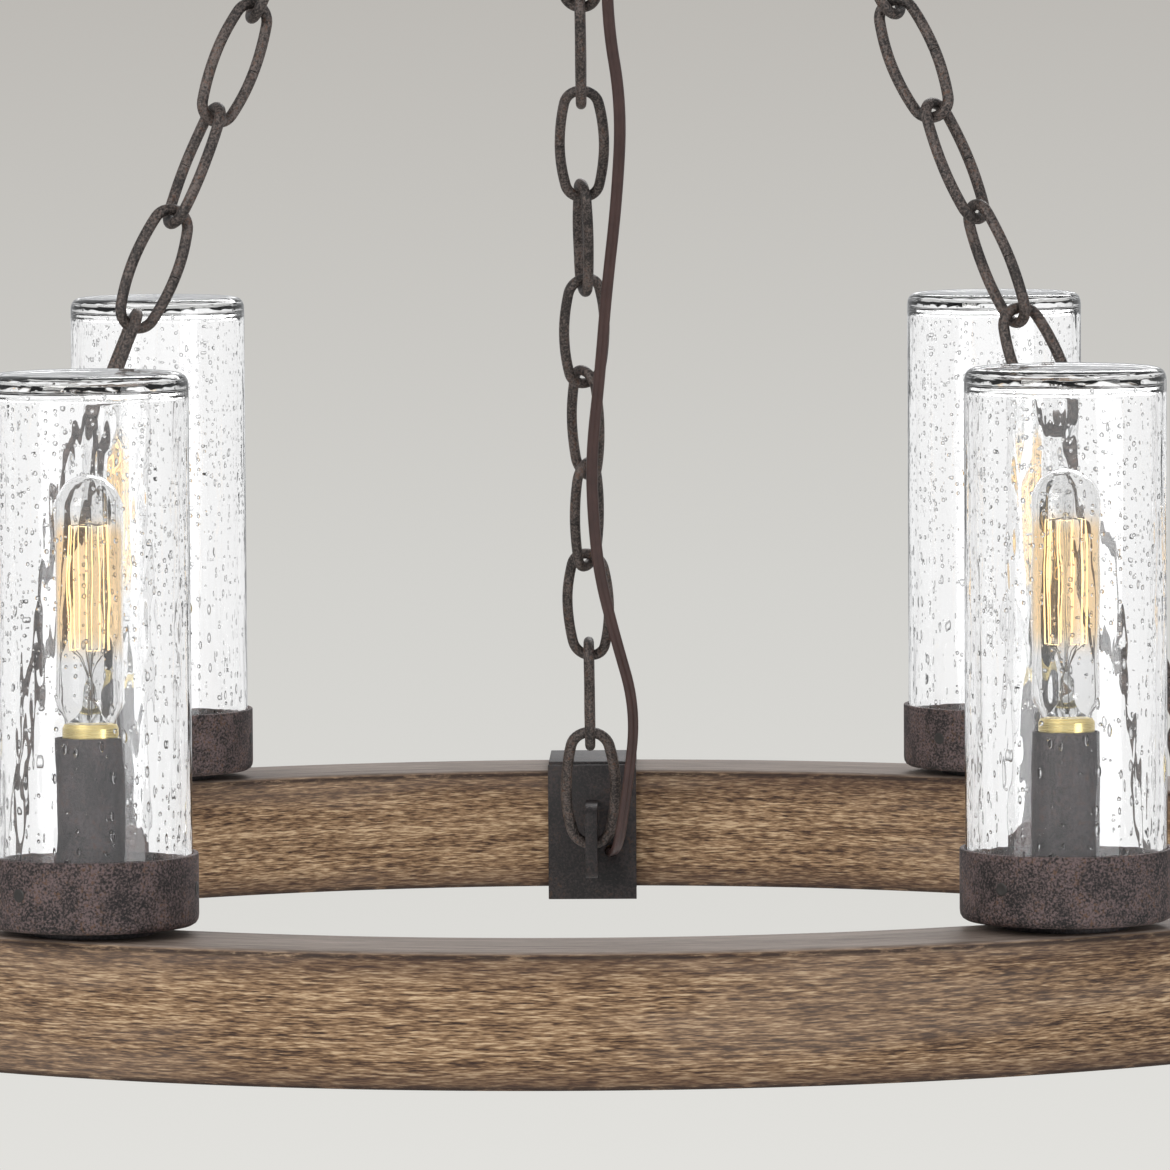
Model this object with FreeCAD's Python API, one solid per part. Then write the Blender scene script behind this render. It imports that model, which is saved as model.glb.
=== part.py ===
import FreeCAD, Part
import math
import os

# Ring chandelier: a wooden rim hung on three chains, with six glass lamps on top.
# Millimetres, +Z up. The origin is where the fitting meets the ceiling, on the vertical axis.

# ---- rim ----
RIM_OUTER_RADIUS = 482.6
RIM_WIDTH = 63.5
RIM_HEIGHT = 63.5
RIM_EDGE = 2.5
RACEWAY_WIDTH = 22.0
RACEWAY_DEPTH = 28.0
STRIP_WIDTH = 30.0
STRIP_THICKNESS = 3.0
STRIP_GAP = 0.3

# ---- lamps ----
LAMP_COUNT = 6
FOOT_RADIUS = 29.0
FOOT_HEIGHT = 4.0
CUP_RADIUS = 49.5
CUP_HEIGHT = 33.5
CUP_WALL = 2.2
CUP_FLOOR = 2.5
CUP_CORNER = 5.0
SHADE_RADIUS = 46.75
SHADE_LENGTH = 253.0
SHADE_WALL = 4.5
SHADE_TOP = 8.0
SHADE_CORNER = 7.0
SEAT_GAP = 0.3
SLEEVE_RADIUS = 15.75
SLEEVE_LENGTH = 86.0
SLEEVE_WALL = 1.0
SOCKET_LENGTH = 56.0
SOCKET_BELOW_SLEEVE_TOP = 3.0
SOCKET_BORE = 13.3
SOCKET_BORE_DEPTH = 30.0
NIPPLE_RADIUS = 5.0
NIPPLE_BORE = 3.2
NUT_FLATS = 16.0
NUT_HEIGHT = 4.0
BULB_RADIUS = 15.75
BULB_NECK_RADIUS = 12.0
BULB_SHOULDER = 9.0
BULB_GLASS_LENGTH = 115.0
BULB_GLASS_WALL = 0.8
BASE_RADIUS = 13.0
BASE_LENGTH = 31.0
BASE_SHOWS = 6.3
BASE_TIP_RADIUS = 5.0
BASE_TIP_HEIGHT = 5.0
STEM_RADIUS = 5.0
STEM_TIP_RADIUS = 2.0
STEM_LENGTH = 34.0
FILAMENT_LEGS = 8
FILAMENT_RADIUS = 8.5
FILAMENT_WIRE = 0.8
FILAMENT_BOTTOM = 31.0
FILAMENT_LENGTH = 60.0

# ---- brackets ----
BRACKET_AZIMUTHS = {"rear": 89.0, "left": 210.0, "right": 330.0}
STRAP_WIDTH = 47.0
STRAP_THICKNESS = 4.5
PLATE_WIDTH = 47.8
PLATE_THICKNESS = 4.0
PLATE_RISE = 3.0
PLATE_DROP = 6.6
LUG_THICKNESS = 6.5
LUG_REACH = 34.0
LUG_HEIGHT = 40.0
LUG_CORNER = 8.0
LUG_HOLE_RADIUS = 6.5
LUG_HOLE_HEIGHT = -7.0
LUG_HOLE_FROM_PLATE = 24.0
BOLT_RADIUS = 4.0
BOLT_HEIGHT = 14.0
BOLT_HEAD_FLATS = 13.0
BOLT_HEAD_HEIGHT = 5.3
BOLT_BITE = 3.0
FIT_GAP = 0.1

# ---- chains ----
LINK_WIRE_RADIUS = 2.75
LINK_WIDTH = 28.5
LINK_LENGTH = 66.6
LINK_END_RADIUS = 9.0
END_LINK_WIRE_RADIUS = 3.0
END_LINK_WIDTH = 32.6
END_LINK_LENGTH = 74.5
END_LINK_END_RADIUS = 10.5
LINK_GAP = 0.3
LOOP_SEAT_GAP = 0.7
LINKS_PER_CHAIN = 14
BOW_STEPS = 6
SIDE_STEPS = 2
WIRE_SIDES = 6
TOP_CHAIN_LINKS = 3
LINK_ROLLS = {"rear": (0, 75, 147, 220, 293, 375, 450, 540),
              "left": (162, 234, 306, 378, 450, 540, 630, 720),
              "right": (188, 285, 383, 480, 578, 692, 802, 916)}
UNSEEN_ROLL_STEP = 75.0

# ---- hub ----
HUB_RADIUS = 28.0
HUB_HEIGHT = 30.0
HUB_EDGE = 4.0
HUB_LUG_RADIUS = 42.0
HUB_LUG_THICKNESS = 6.0
HUB_LUG_HEIGHT = 24.0
HUB_LUG_HOLE_RADIUS = 6.0
HUB_LUG_RIM = 8.0
HUB_LOOP_RADIUS = 11.0
HUB_LOOP_LEG = 8.0
HUB_COLLAR_RADIUS = 16.0
HUB_COLLAR_HEIGHT = 10.0

# ---- ceiling fitting ----
CANOPY_RADIUS = 65.0
CANOPY_FLAT_RADIUS = 48.0
CANOPY_HEIGHT = 24.0
CANOPY_WALL = 1.6
CROSSBAR_END = 5.5
CROSSBAR_WIDTH = 20.0
CROSSBAR_THICKNESS = 2.5
CROSSBAR_SLOT_SPACING = 88.9
CROSSBAR_SLOT_LENGTH = 12.0
CROSSBAR_SLOT_RADIUS = 2.6
COLLAR_RADIUS = 19.0
COLLAR_HEIGHT = 10.0
COLLAR_BORE = 8.0
LOOP_RADIUS = 15.0
LOOP_WIRE_RADIUS = 3.0
LOOP_LEG = 11.0

# ---- cord ----
CORD_RADIUS = 2.5
CORD_HOLE_RADIUS = 3.2
CORD_HOLE_X = 10.0
CORD_HOLE_HEIGHT = -12.0
HARNESS_RADIUS = 3.0

# ---- places worked out from the sizes ----
RIM_INNER_RADIUS = RIM_OUTER_RADIUS - RIM_WIDTH
RIM_MID_RADIUS = RIM_OUTER_RADIUS - RIM_WIDTH / 2
PLATE_FACE = math.sqrt(RIM_INNER_RADIUS ** 2 - (PLATE_WIDTH / 2) ** 2) - SEAT_GAP - PLATE_THICKNESS
LUG_HOLE_RADIAL = PLATE_FACE - LUG_HOLE_FROM_PLATE
LINK_REACH = LINK_LENGTH - 2 * LINK_WIRE_RADIUS
END_LINK_REACH = END_LINK_LENGTH - 2 * END_LINK_WIRE_RADIUS
BOW_SLOPE = math.tan(math.pi / 2 / BOW_STEPS)


def wire_apothem(radius):
    """Distance to the flats of the many-sided wire that has the round wire's area."""
    round_area = math.pi * radius ** 2
    return math.sqrt(round_area / (WIRE_SIDES * math.tan(math.pi / WIRE_SIDES)))


def seat_drop(radius_a, radius_b):
    """Distance between two wires' centres where one link's bow sits in another's."""
    half_flats = (wire_apothem(radius_a) + wire_apothem(radius_b)) * math.tan(math.pi / WIRE_SIDES)
    return wire_apothem(radius_a) + wire_apothem(radius_b) + half_flats * BOW_SLOPE + LINK_GAP


def hole_seat(hole_radius, half_thickness, wire_radius):
    """Distance from a lug hole's centre to the centre of the wire pulled against its wall."""
    corner = wire_apothem(wire_radius) / math.cos(math.pi / WIRE_SIDES)
    return hole_radius - corner - half_thickness * BOW_SLOPE - LINK_GAP


LINK_PITCH = LINK_REACH - seat_drop(LINK_WIRE_RADIUS, LINK_WIRE_RADIUS)
END_LINK_PITCH = END_LINK_REACH - seat_drop(END_LINK_WIRE_RADIUS, LINK_WIRE_RADIUS)
CHAIN_REACH = END_LINK_PITCH + (LINKS_PER_CHAIN - 1) * LINK_PITCH + LINK_REACH
LUG_SEAT = hole_seat(LUG_HOLE_RADIUS, LUG_THICKNESS / 2, END_LINK_WIRE_RADIUS)
HUB_SEAT = hole_seat(HUB_LUG_HOLE_RADIUS, HUB_LUG_THICKNESS / 2, LINK_WIRE_RADIUS)
HOLE_TO_HOLE = CHAIN_REACH + LUG_SEAT + HUB_SEAT
CHAIN_LEAN = math.asin((LUG_HOLE_RADIAL - HUB_LUG_RADIUS) / HOLE_TO_HOLE)

CROSSBAR_LENGTH = CROSSBAR_SLOT_SPACING + CROSSBAR_SLOT_LENGTH + 2 * CROSSBAR_END
LOOP_WIRE_Z = -CANOPY_HEIGHT - COLLAR_HEIGHT - LOOP_LEG - LOOP_RADIUS
LOOP_SEAT = LOOP_WIRE_RADIUS + LINK_WIRE_RADIUS + LOOP_SEAT_GAP
TOP_CHAIN_TOP_Z = LOOP_WIRE_Z + LOOP_SEAT
TOP_CHAIN_END_Z = TOP_CHAIN_TOP_Z - (TOP_CHAIN_LINKS - 1) * LINK_PITCH - LINK_REACH
HUB_LOOP_WIRE_Z = TOP_CHAIN_END_Z + LOOP_SEAT
HUB_COLLAR_TOP_Z = HUB_LOOP_WIRE_Z - HUB_LOOP_RADIUS - HUB_LOOP_LEG
HUB_TOP_Z = HUB_COLLAR_TOP_Z - HUB_COLLAR_HEIGHT
HUB_HOLE_Z = HUB_TOP_Z - HUB_HEIGHT / 2
RIM_Z = HUB_HOLE_Z - HOLE_TO_HOLE * math.cos(CHAIN_LEAN) - LUG_HOLE_HEIGHT
RIM_TOP_Z = RIM_Z + RIM_HEIGHT / 2
RIM_BOTTOM_Z = RIM_Z - RIM_HEIGHT / 2
CUP_BOTTOM_Z = RIM_TOP_Z + FOOT_HEIGHT
CUP_FLOOR_Z = CUP_BOTTOM_Z + CUP_FLOOR
SLEEVE_TOP_Z = CUP_FLOOR_Z + SLEEVE_LENGTH
SOCKET_TOP_Z = SLEEVE_TOP_Z - SOCKET_BELOW_SLEEVE_TOP
BASE_TOP_Z = SLEEVE_TOP_Z + BASE_SHOWS
RACEWAY_TOP_Z = RIM_BOTTOM_Z + RACEWAY_DEPTH

X_AXIS = FreeCAD.Vector(1, 0, 0)
Y_AXIS = FreeCAD.Vector(0, 1, 0)
Z_AXIS = FreeCAD.Vector(0, 0, 1)


def vec(x, y, z):
    return FreeCAD.Vector(x, y, z)


def turned(profile):
    """Solid of revolution about Z from a closed outline of (radius, height) points."""
    points = [vec(r, 0, z) for r, z in profile]
    face = Part.Face(Part.makePolygon(points + points[:1]))
    return face.revolve(vec(0, 0, 0), Z_AXIS, 360)


def placed(shape, azimuth, radius=0.0, height=0.0):
    """Copy of a shape built at the axis, moved out along +X, up, and round by the azimuth."""
    copy = shape.copy()
    copy.translate(vec(radius, 0, height))
    copy.rotate(vec(0, 0, 0), Z_AXIS, azimuth)
    return copy


def hex_prism(flats, height, at, along):
    """Hexagonal prism whose flats are the given distance apart."""
    corner = flats / 2 / math.cos(math.pi / 6)
    points = [vec(corner * math.cos(math.pi / 3 * k), corner * math.sin(math.pi / 3 * k), 0) for k in range(6)]
    prism = Part.Face(Part.makePolygon(points + points[:1])).extrude(vec(0, 0, height))
    turn = FreeCAD.Rotation(Z_AXIS, along)
    prism.Placement = FreeCAD.Placement(at, turn)
    return prism


def block(x0, x1, y0, y1, z0, z1):
    return Part.makeBox(x1 - x0, y1 - y0, z1 - z0, vec(x0, y0, z0))


def lamp_azimuths():
    return [360.0 / LAMP_COUNT * k for k in range(LAMP_COUNT)]


def link_roll(side, k):
    """Roll of a chain's k-th link about the chain, degrees. At 90 it lies across the chain's lean.

    The links that the photograph shows have their own rolls. Above them the rolls go on in even
    steps, to end across the lean, as the hub's lug needs."""
    seen = LINK_ROLLS[side]
    if k < len(seen):
        return seen[k]
    steps = LINKS_PER_CHAIN - len(seen)
    half_turns = round((seen[-1] + UNSEEN_ROLL_STEP * steps - 90.0) / 180.0)
    last = 90.0 + 180.0 * half_turns
    return seen[-1] + (last - seen[-1]) / steps * (k - len(seen) + 1)


# ---- rim and what it holds ----
def make_rim():
    top, bottom, e = RIM_TOP_Z, RIM_BOTTOM_Z, RIM_EDGE
    inner, outer, mid = RIM_INNER_RADIUS, RIM_OUTER_RADIUS, RIM_MID_RADIUS
    groove, rebate = RACEWAY_WIDTH / 2, STRIP_WIDTH / 2
    ledge = bottom + STRIP_THICKNESS
    rim = turned([(inner + e, bottom), (mid - rebate, bottom), (mid - rebate, ledge),
                  (mid - groove, ledge), (mid - groove, RACEWAY_TOP_Z), (mid + groove, RACEWAY_TOP_Z),
                  (mid + groove, ledge), (mid + rebate, ledge), (mid + rebate, bottom),
                  (outer - e, bottom), (outer, bottom + e), (outer, top - e),
                  (outer - e, top), (inner + e, top), (inner, top - e), (inner, bottom + e)])
    cutters = []
    nipple_hole = Part.makeCylinder(NIPPLE_RADIUS + SEAT_GAP, RIM_HEIGHT, vec(0, 0, RACEWAY_TOP_Z - 1))
    for azimuth in lamp_azimuths():
        cutters.append(placed(nipple_hole, azimuth, mid))
    bolt_hole = Part.makeCylinder(BOLT_RADIUS + SEAT_GAP, RIM_WIDTH * 2,
                                  vec(inner - RIM_WIDTH / 2, 0, RIM_Z + BOLT_HEIGHT), X_AXIS)
    for azimuth in BRACKET_AZIMUTHS.values():
        cutters.append(placed(bolt_hole, azimuth))
    cord_hole = Part.makeCylinder(CORD_HOLE_RADIUS, mid - inner + RIM_WIDTH / 4,
                                  vec(CORD_HOLE_X, inner - RIM_WIDTH / 4, RIM_Z + CORD_HOLE_HEIGHT), Y_AXIS)
    cutters.append(round_bracket(cord_hole, BRACKET_AZIMUTHS["rear"]))
    return rim.cut(cutters)


def make_raceway_strip():
    half = STRIP_WIDTH / 2 - STRIP_GAP
    inner, outer = RIM_MID_RADIUS - half, RIM_MID_RADIUS + half
    low, high = RIM_BOTTOM_Z, RIM_BOTTOM_Z + STRIP_THICKNESS
    return turned([(inner, low), (outer, low), (outer, high), (inner, high)])


def make_harness():
    """Cable round the raceway, with a lead standing up into each lamp's nipple."""
    z = RIM_BOTTOM_Z + STRIP_THICKNESS + HARNESS_RADIUS + 1
    mid, r = RIM_MID_RADIUS, HARNESS_RADIUS
    corners = [math.pi / 3 * k for k in range(6)]
    ring = turned([(mid + r * math.cos(a), z + r * math.sin(a)) for a in corners])
    lead = Part.makeCylinder(NIPPLE_BORE - 1, SOCKET_TOP_Z - SOCKET_LENGTH - z - 1, vec(0, 0, z))
    leads = [placed(lead, azimuth, RIM_MID_RADIUS) for azimuth in lamp_azimuths()]
    return ring.fuse(leads)


# ---- lamp pieces, each built at its own lamp's axis ----
def lamp_foot():
    r, low, high = FOOT_RADIUS, RIM_TOP_Z, CUP_BOTTOM_Z
    hole = NIPPLE_RADIUS + SEAT_GAP
    return turned([(hole, low), (r, low), (r, high), (hole, high)])


def lamp_cup():
    r, low, top = CUP_RADIUS, CUP_BOTTOM_Z, CUP_BOTTOM_Z + CUP_HEIGHT
    inner, hole, c = CUP_RADIUS - CUP_WALL, NIPPLE_RADIUS + SEAT_GAP, CUP_CORNER
    half_c = c * (1 - math.sqrt(0.5))
    return turned([(hole, low), (r - c, low), (r - half_c, low + half_c), (r, low + c),
                   (r, top), (inner, top), (inner, CUP_FLOOR_Z), (hole, CUP_FLOOR_Z)])


def lamp_shade():
    r, c = SHADE_RADIUS, SHADE_CORNER
    inner = r - SHADE_WALL
    low = CUP_FLOOR_Z + SEAT_GAP
    top = low + SHADE_LENGTH
    half_c = c * (1 - math.sqrt(0.5))
    ceiling = top - SHADE_TOP
    return turned([(inner, low), (r, low), (r, top - c), (r - half_c, top - half_c), (r - c, top),
                   (0, top), (0, ceiling), (inner - c / 2, ceiling), (inner, ceiling - c / 2)])


def lamp_sleeve():
    r, inner = SLEEVE_RADIUS, SLEEVE_RADIUS - SLEEVE_WALL
    return turned([(inner, CUP_FLOOR_Z), (r, CUP_FLOOR_Z), (r, SLEEVE_TOP_Z), (inner, SLEEVE_TOP_Z)])


def lamp_socket():
    """Insulating socket: a bore for the bulb's base above a floor that screws on the nipple."""
    r = SLEEVE_RADIUS - SLEEVE_WALL - FIT_GAP
    low, top = SOCKET_TOP_Z - SOCKET_LENGTH, SOCKET_TOP_Z
    floor = top - SOCKET_BORE_DEPTH
    return turned([(NIPPLE_RADIUS + FIT_GAP, low), (r, low), (r, top), (SOCKET_BORE, top),
                   (SOCKET_BORE, floor), (NIPPLE_RADIUS + FIT_GAP, floor)])


def lamp_nipple():
    low = RACEWAY_TOP_Z - NUT_HEIGHT - 2
    high = SOCKET_TOP_Z - SOCKET_LENGTH + NUT_HEIGHT * 2
    return turned([(NIPPLE_BORE, low), (NIPPLE_RADIUS, low), (NIPPLE_RADIUS, high), (NIPPLE_BORE, high)])


def lamp_nut(z):
    nut = hex_prism(NUT_FLATS, NUT_HEIGHT, vec(0, 0, z), Z_AXIS)
    return nut.cut(Part.makeCylinder(NIPPLE_RADIUS + FIT_GAP / 2, NUT_HEIGHT, vec(0, 0, z)))


def bulb_base():
    r, top = BASE_RADIUS, BASE_TOP_Z
    low = top - BASE_LENGTH
    tip, neck = BASE_TIP_RADIUS, BULB_NECK_RADIUS
    return turned([(0, low), (tip, low), (r - 1, low + BASE_TIP_HEIGHT), (r, low + BASE_TIP_HEIGHT + 1),
                   (r, top - 2), (neck, top), (0, top)])


def bulb_outline(inset, floor):
    """Half outline of the envelope from its foot to its crown, inset by the given wall."""
    r, neck = BULB_RADIUS - inset, BULB_NECK_RADIUS - inset
    foot = BASE_TOP_Z + floor
    crown = BASE_TOP_Z + BULB_GLASS_LENGTH - BULB_RADIUS
    points = [(neck, foot), (r, BASE_TOP_Z + BULB_SHOULDER), (r, crown)]
    for step in (1, 2, 3):
        angle = math.pi / 8 * step
        points.append((r * math.cos(angle), crown + r * math.sin(angle)))
    points.append((0, crown + r))
    return points


def bulb_glass():
    outer = bulb_outline(0.0, 0.0)
    inner = bulb_outline(BULB_GLASS_WALL, 0.0)
    return turned(outer + inner[::-1])


def bulb_filament():
    """Glass stem, and a cage of upright filament legs joined top and bottom in turn."""
    foot = BASE_TOP_Z + FIT_GAP
    stem = turned([(0, foot), (STEM_RADIUS, foot), (STEM_TIP_RADIUS, foot + STEM_LENGTH * 0.6),
                   (STEM_TIP_RADIUS, foot + STEM_LENGTH), (0, foot + STEM_LENGTH)])
    w = FILAMENT_WIRE / 2
    low = BASE_TOP_Z + FILAMENT_BOTTOM
    pieces = []
    for k in range(FILAMENT_LEGS):
        leg = block(FILAMENT_RADIUS - w, FILAMENT_RADIUS + w, -w, w, low, low + FILAMENT_LENGTH)
        pieces.append(placed(leg, 360.0 / FILAMENT_LEGS * k))
    chord = 2 * FILAMENT_RADIUS * math.sin(math.pi / FILAMENT_LEGS)
    apothem = FILAMENT_RADIUS * math.cos(math.pi / FILAMENT_LEGS)
    for k in range(FILAMENT_LEGS - 1):
        z = low if k % 2 else low + FILAMENT_LENGTH - FILAMENT_WIRE
        bar = block(apothem - w, apothem + w, -chord / 2, chord / 2, z, z + FILAMENT_WIRE)
        pieces.append(placed(bar, 360.0 / FILAMENT_LEGS * (k + 0.5)))
    cage = pieces[0].multiFuse(pieces[1:])
    return Part.makeCompound([stem, cage])


# ---- brackets, built for the bracket that stands on +Y ----
def bracket_strap():
    half = STRAP_WIDTH / 2
    t, gap = STRAP_THICKNESS, FIT_GAP
    back = PLATE_FACE + PLATE_THICKNESS
    outer = RIM_OUTER_RADIUS + gap
    high, low = RIM_TOP_Z + gap, RIM_BOTTOM_Z - gap
    outline = [(back, high), (outer, high), (outer, low), (back, low), (back, low - t),
               (outer + t, low - t), (outer + t, high + t), (back, high + t)]
    points = [vec(-half, y, z) for y, z in outline]
    strap = Part.Face(Part.makePolygon(points + points[:1])).extrude(vec(STRAP_WIDTH, 0, 0))
    hole = Part.makeCylinder(BOLT_RADIUS + SEAT_GAP, t * 3, vec(0, outer - t, RIM_Z + BOLT_HEIGHT), Y_AXIS)
    return strap.cut(hole)


def bracket_plate(with_cord_hole):
    half = PLATE_WIDTH / 2
    back = PLATE_FACE + PLATE_THICKNESS
    plate = block(-half, half, PLATE_FACE, back, RIM_BOTTOM_Z - PLATE_DROP, RIM_TOP_Z + PLATE_RISE)
    centre = RIM_Z - 4.2
    lug = block(-LUG_THICKNESS / 2, LUG_THICKNESS / 2, PLATE_FACE - LUG_REACH, PLATE_FACE,
                centre - LUG_HEIGHT / 2, centre + LUG_HEIGHT / 2)
    corners = [e for e in lug.Edges
               if abs(e.Vertexes[0].Y - e.Vertexes[1].Y) < 0.01
               and abs(e.Vertexes[0].Z - e.Vertexes[1].Z) < 0.01
               and e.Vertexes[0].Y < PLATE_FACE - 1]
    lug = lug.makeFillet(LUG_CORNER, corners)
    plate = plate.fuse(lug)
    cutters = [Part.makeCylinder(LUG_HOLE_RADIUS, LUG_THICKNESS * 2,
                                 vec(-LUG_THICKNESS, LUG_HOLE_RADIAL, RIM_Z + LUG_HOLE_HEIGHT), X_AXIS),
               Part.makeCylinder(BOLT_RADIUS + FIT_GAP / 2, BOLT_BITE,
                                 vec(0, back - BOLT_BITE, RIM_Z + BOLT_HEIGHT), Y_AXIS)]
    if with_cord_hole:
        cutters.append(Part.makeCylinder(CORD_HOLE_RADIUS, PLATE_THICKNESS * 2,
                                         vec(CORD_HOLE_X, PLATE_FACE - PLATE_THICKNESS / 2,
                                             RIM_Z + CORD_HOLE_HEIGHT), Y_AXIS))
    return plate.cut(cutters)


def bracket_bolt():
    z = RIM_Z + BOLT_HEIGHT
    tip = PLATE_FACE + PLATE_THICKNESS - BOLT_BITE + FIT_GAP
    under_head = RIM_OUTER_RADIUS + FIT_GAP + STRAP_THICKNESS
    shank = Part.makeCylinder(BOLT_RADIUS, under_head - tip + 1, vec(0, tip, z), Y_AXIS)
    head = hex_prism(BOLT_HEAD_FLATS, BOLT_HEAD_HEIGHT, vec(0, under_head, z), Y_AXIS)
    return head.fuse(shank)


def round_bracket(piece, azimuth):
    """A bracket piece built on +Y, turned to its own azimuth."""
    copy = piece.copy()
    copy.rotate(vec(0, 0, 0), Z_AXIS, azimuth - 90.0)
    return copy


# ---- bars with many flat sides ----
def wire_section(radius):
    """Corners of the many-sided wire, as (outward, across) from its centre line."""
    corner = wire_apothem(radius) / math.cos(math.pi / WIRE_SIDES)
    angles = [2 * math.pi / WIRE_SIDES * (j + 0.5) for j in range(WIRE_SIDES)]
    return [(corner * math.cos(angle), corner * math.sin(angle)) for angle in angles]


def bar_through(rings, closed):
    """Solid bar through rings of section corners, joined end to end or capped."""
    faces = []
    for i in range(len(rings) if closed else len(rings) - 1):
        here, there = rings[i], rings[(i + 1) % len(rings)]
        for j in range(len(here)):
            n = (j + 1) % len(here)
            quad = [here[j], here[n], there[n], there[j], here[j]]
            faces.append(Part.Face(Part.makePolygon(quad)))
    if not closed:
        for ring in (rings[0], rings[-1]):
            faces.append(Part.Face(Part.makePolygon(ring + ring[:1])))
    solid = Part.Solid(Part.Shell(faces))
    if solid.Volume < 0:
        solid.reverse()
    return solid


# ---- chain ----
def oval_link(length, width, wire_radius, end_radius):
    """Closed oval link of four arcs, standing along Z in the XZ plane, centred on the origin."""
    half_width = width / 2 - wire_radius
    rise = length / 2 - wire_radius - end_radius
    side_radius = (half_width ** 2 + rise ** 2 - end_radius ** 2) / (2 * (half_width - end_radius))
    half = math.atan2(rise, side_radius - half_width)
    offset = side_radius - half_width
    arcs = [(-offset, 0, side_radius, -half, half, SIDE_STEPS),
            (0, rise, end_radius, half, math.pi - half, BOW_STEPS),
            (offset, 0, side_radius, math.pi - half, math.pi + half, SIDE_STEPS),
            (0, -rise, end_radius, math.pi + half, 2 * math.pi - half, BOW_STEPS)]
    section = wire_section(wire_radius)
    rings = []
    for x, z, radius, start, end, steps in arcs:
        for step in range(steps):
            angle = start + (end - start) * step / steps
            ring = []
            for outward, across in section:
                r = radius + outward
                ring.append(vec(x + r * math.cos(angle), across, z + r * math.sin(angle)))
            rings.append(ring)
    return bar_through(rings, True)


def leg_chain(side):
    """One of the three chains, from its bracket's lug up to the hub's lug."""
    azimuth = BRACKET_AZIMUTHS[side]
    out = vec(math.cos(math.radians(azimuth)), math.sin(math.radians(azimuth)), 0)
    up = out * -math.sin(CHAIN_LEAN) + Z_AXIS * math.cos(CHAIN_LEAN)
    foot = out * LUG_HOLE_RADIAL + Z_AXIS * (RIM_Z + LUG_HOLE_HEIGHT) + up * LUG_SEAT
    end_link = oval_link(END_LINK_LENGTH, END_LINK_WIDTH, END_LINK_WIRE_RADIUS, END_LINK_END_RADIUS)
    link = oval_link(LINK_LENGTH, LINK_WIDTH, LINK_WIRE_RADIUS, LINK_END_RADIUS)
    pieces = [leaning_link(end_link, foot + up * (END_LINK_REACH / 2), azimuth, 90.0)]
    for k in range(LINKS_PER_CHAIN):
        centre = foot + up * (END_LINK_PITCH + LINK_REACH / 2 + k * LINK_PITCH)
        pieces.append(leaning_link(link, centre, azimuth, link_roll(side, k)))
    return Part.makeCompound(pieces)


def leaning_link(link, centre, azimuth, roll):
    """Copy of a link on a chain that leans in: rolled about its length, leant, turned, moved."""
    copy = link.copy()
    copy.rotate(vec(0, 0, 0), Z_AXIS, roll)
    copy.rotate(vec(0, 0, 0), Y_AXIS, -math.degrees(CHAIN_LEAN))
    copy.rotate(vec(0, 0, 0), Z_AXIS, azimuth)
    copy.translate(centre)
    return copy


def top_chain():
    link = oval_link(LINK_LENGTH, LINK_WIDTH, LINK_WIRE_RADIUS, LINK_END_RADIUS)
    pieces = []
    for k in range(TOP_CHAIN_LINKS):
        copy = link.copy()
        copy.rotate(vec(0, 0, 0), Z_AXIS, 90.0 * (k % 2))
        copy.translate(vec(0, 0, TOP_CHAIN_TOP_Z - LINK_REACH / 2 - k * LINK_PITCH))
        pieces.append(copy)
    return Part.makeCompound(pieces)


# ---- hub and loops ----
def u_loop(radius, leg, wire_radius):
    """U of wire in the YZ plane, bow down, whose lowest wire centre is at the origin."""
    stations = [(math.pi, leg)]
    for step in range(BOW_STEPS + 1):
        stations.append((math.pi + math.pi / BOW_STEPS * step, 0))
    stations.append((2 * math.pi, leg))
    rings = []
    for angle, lift in stations:
        ring = []
        for outward, across in wire_section(wire_radius):
            r = radius + outward
            ring.append(vec(across, r * math.cos(angle), radius + lift + r * math.sin(angle)))
        rings.append(ring)
    return bar_through(rings, False)


def make_hub_loop():
    """Loop on top of the hub, with the collar that it stands on."""
    bow = u_loop(HUB_LOOP_RADIUS, HUB_LOOP_LEG + 1, LOOP_WIRE_RADIUS)
    bow.rotate(vec(0, 0, 0), X_AXIS, 180)
    bow.translate(vec(0, 0, HUB_LOOP_WIRE_Z))
    r, low, high = HUB_COLLAR_RADIUS, HUB_TOP_Z, HUB_COLLAR_TOP_Z
    collar = turned([(0, low), (r, low), (r, high - 2), (r - 2, high), (0, high)])
    return collar.fuse(bow)


def make_hub():
    r, e, top = HUB_RADIUS, HUB_EDGE, HUB_TOP_Z
    low = top - HUB_HEIGHT
    body = turned([(0, low), (r - e, low), (r, low + e), (r, top - e), (r - e, top), (0, top)])
    reach = HUB_LUG_RADIUS + HUB_LUG_RIM
    half = HUB_LUG_HEIGHT / 2
    lug = block(0, reach, -HUB_LUG_THICKNESS / 2, HUB_LUG_THICKNESS / 2, HUB_HOLE_Z - half, HUB_HOLE_Z + half)
    corners = [e for e in lug.Edges
               if abs(e.Vertexes[0].Y - e.Vertexes[1].Y) > 1 and e.Vertexes[0].X > 1]
    lug = lug.makeFillet(HUB_LUG_RIM * 0.6, corners)
    hole = Part.makeCylinder(HUB_LUG_HOLE_RADIUS, HUB_LUG_THICKNESS * 2,
                             vec(HUB_LUG_RADIUS, -HUB_LUG_THICKNESS, HUB_HOLE_Z), Y_AXIS)
    lugs = [placed(lug, azimuth) for azimuth in BRACKET_AZIMUTHS.values()]
    holes = [placed(hole, azimuth) for azimuth in BRACKET_AZIMUTHS.values()]
    return body.fuse(lugs).cut(holes)


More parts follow.
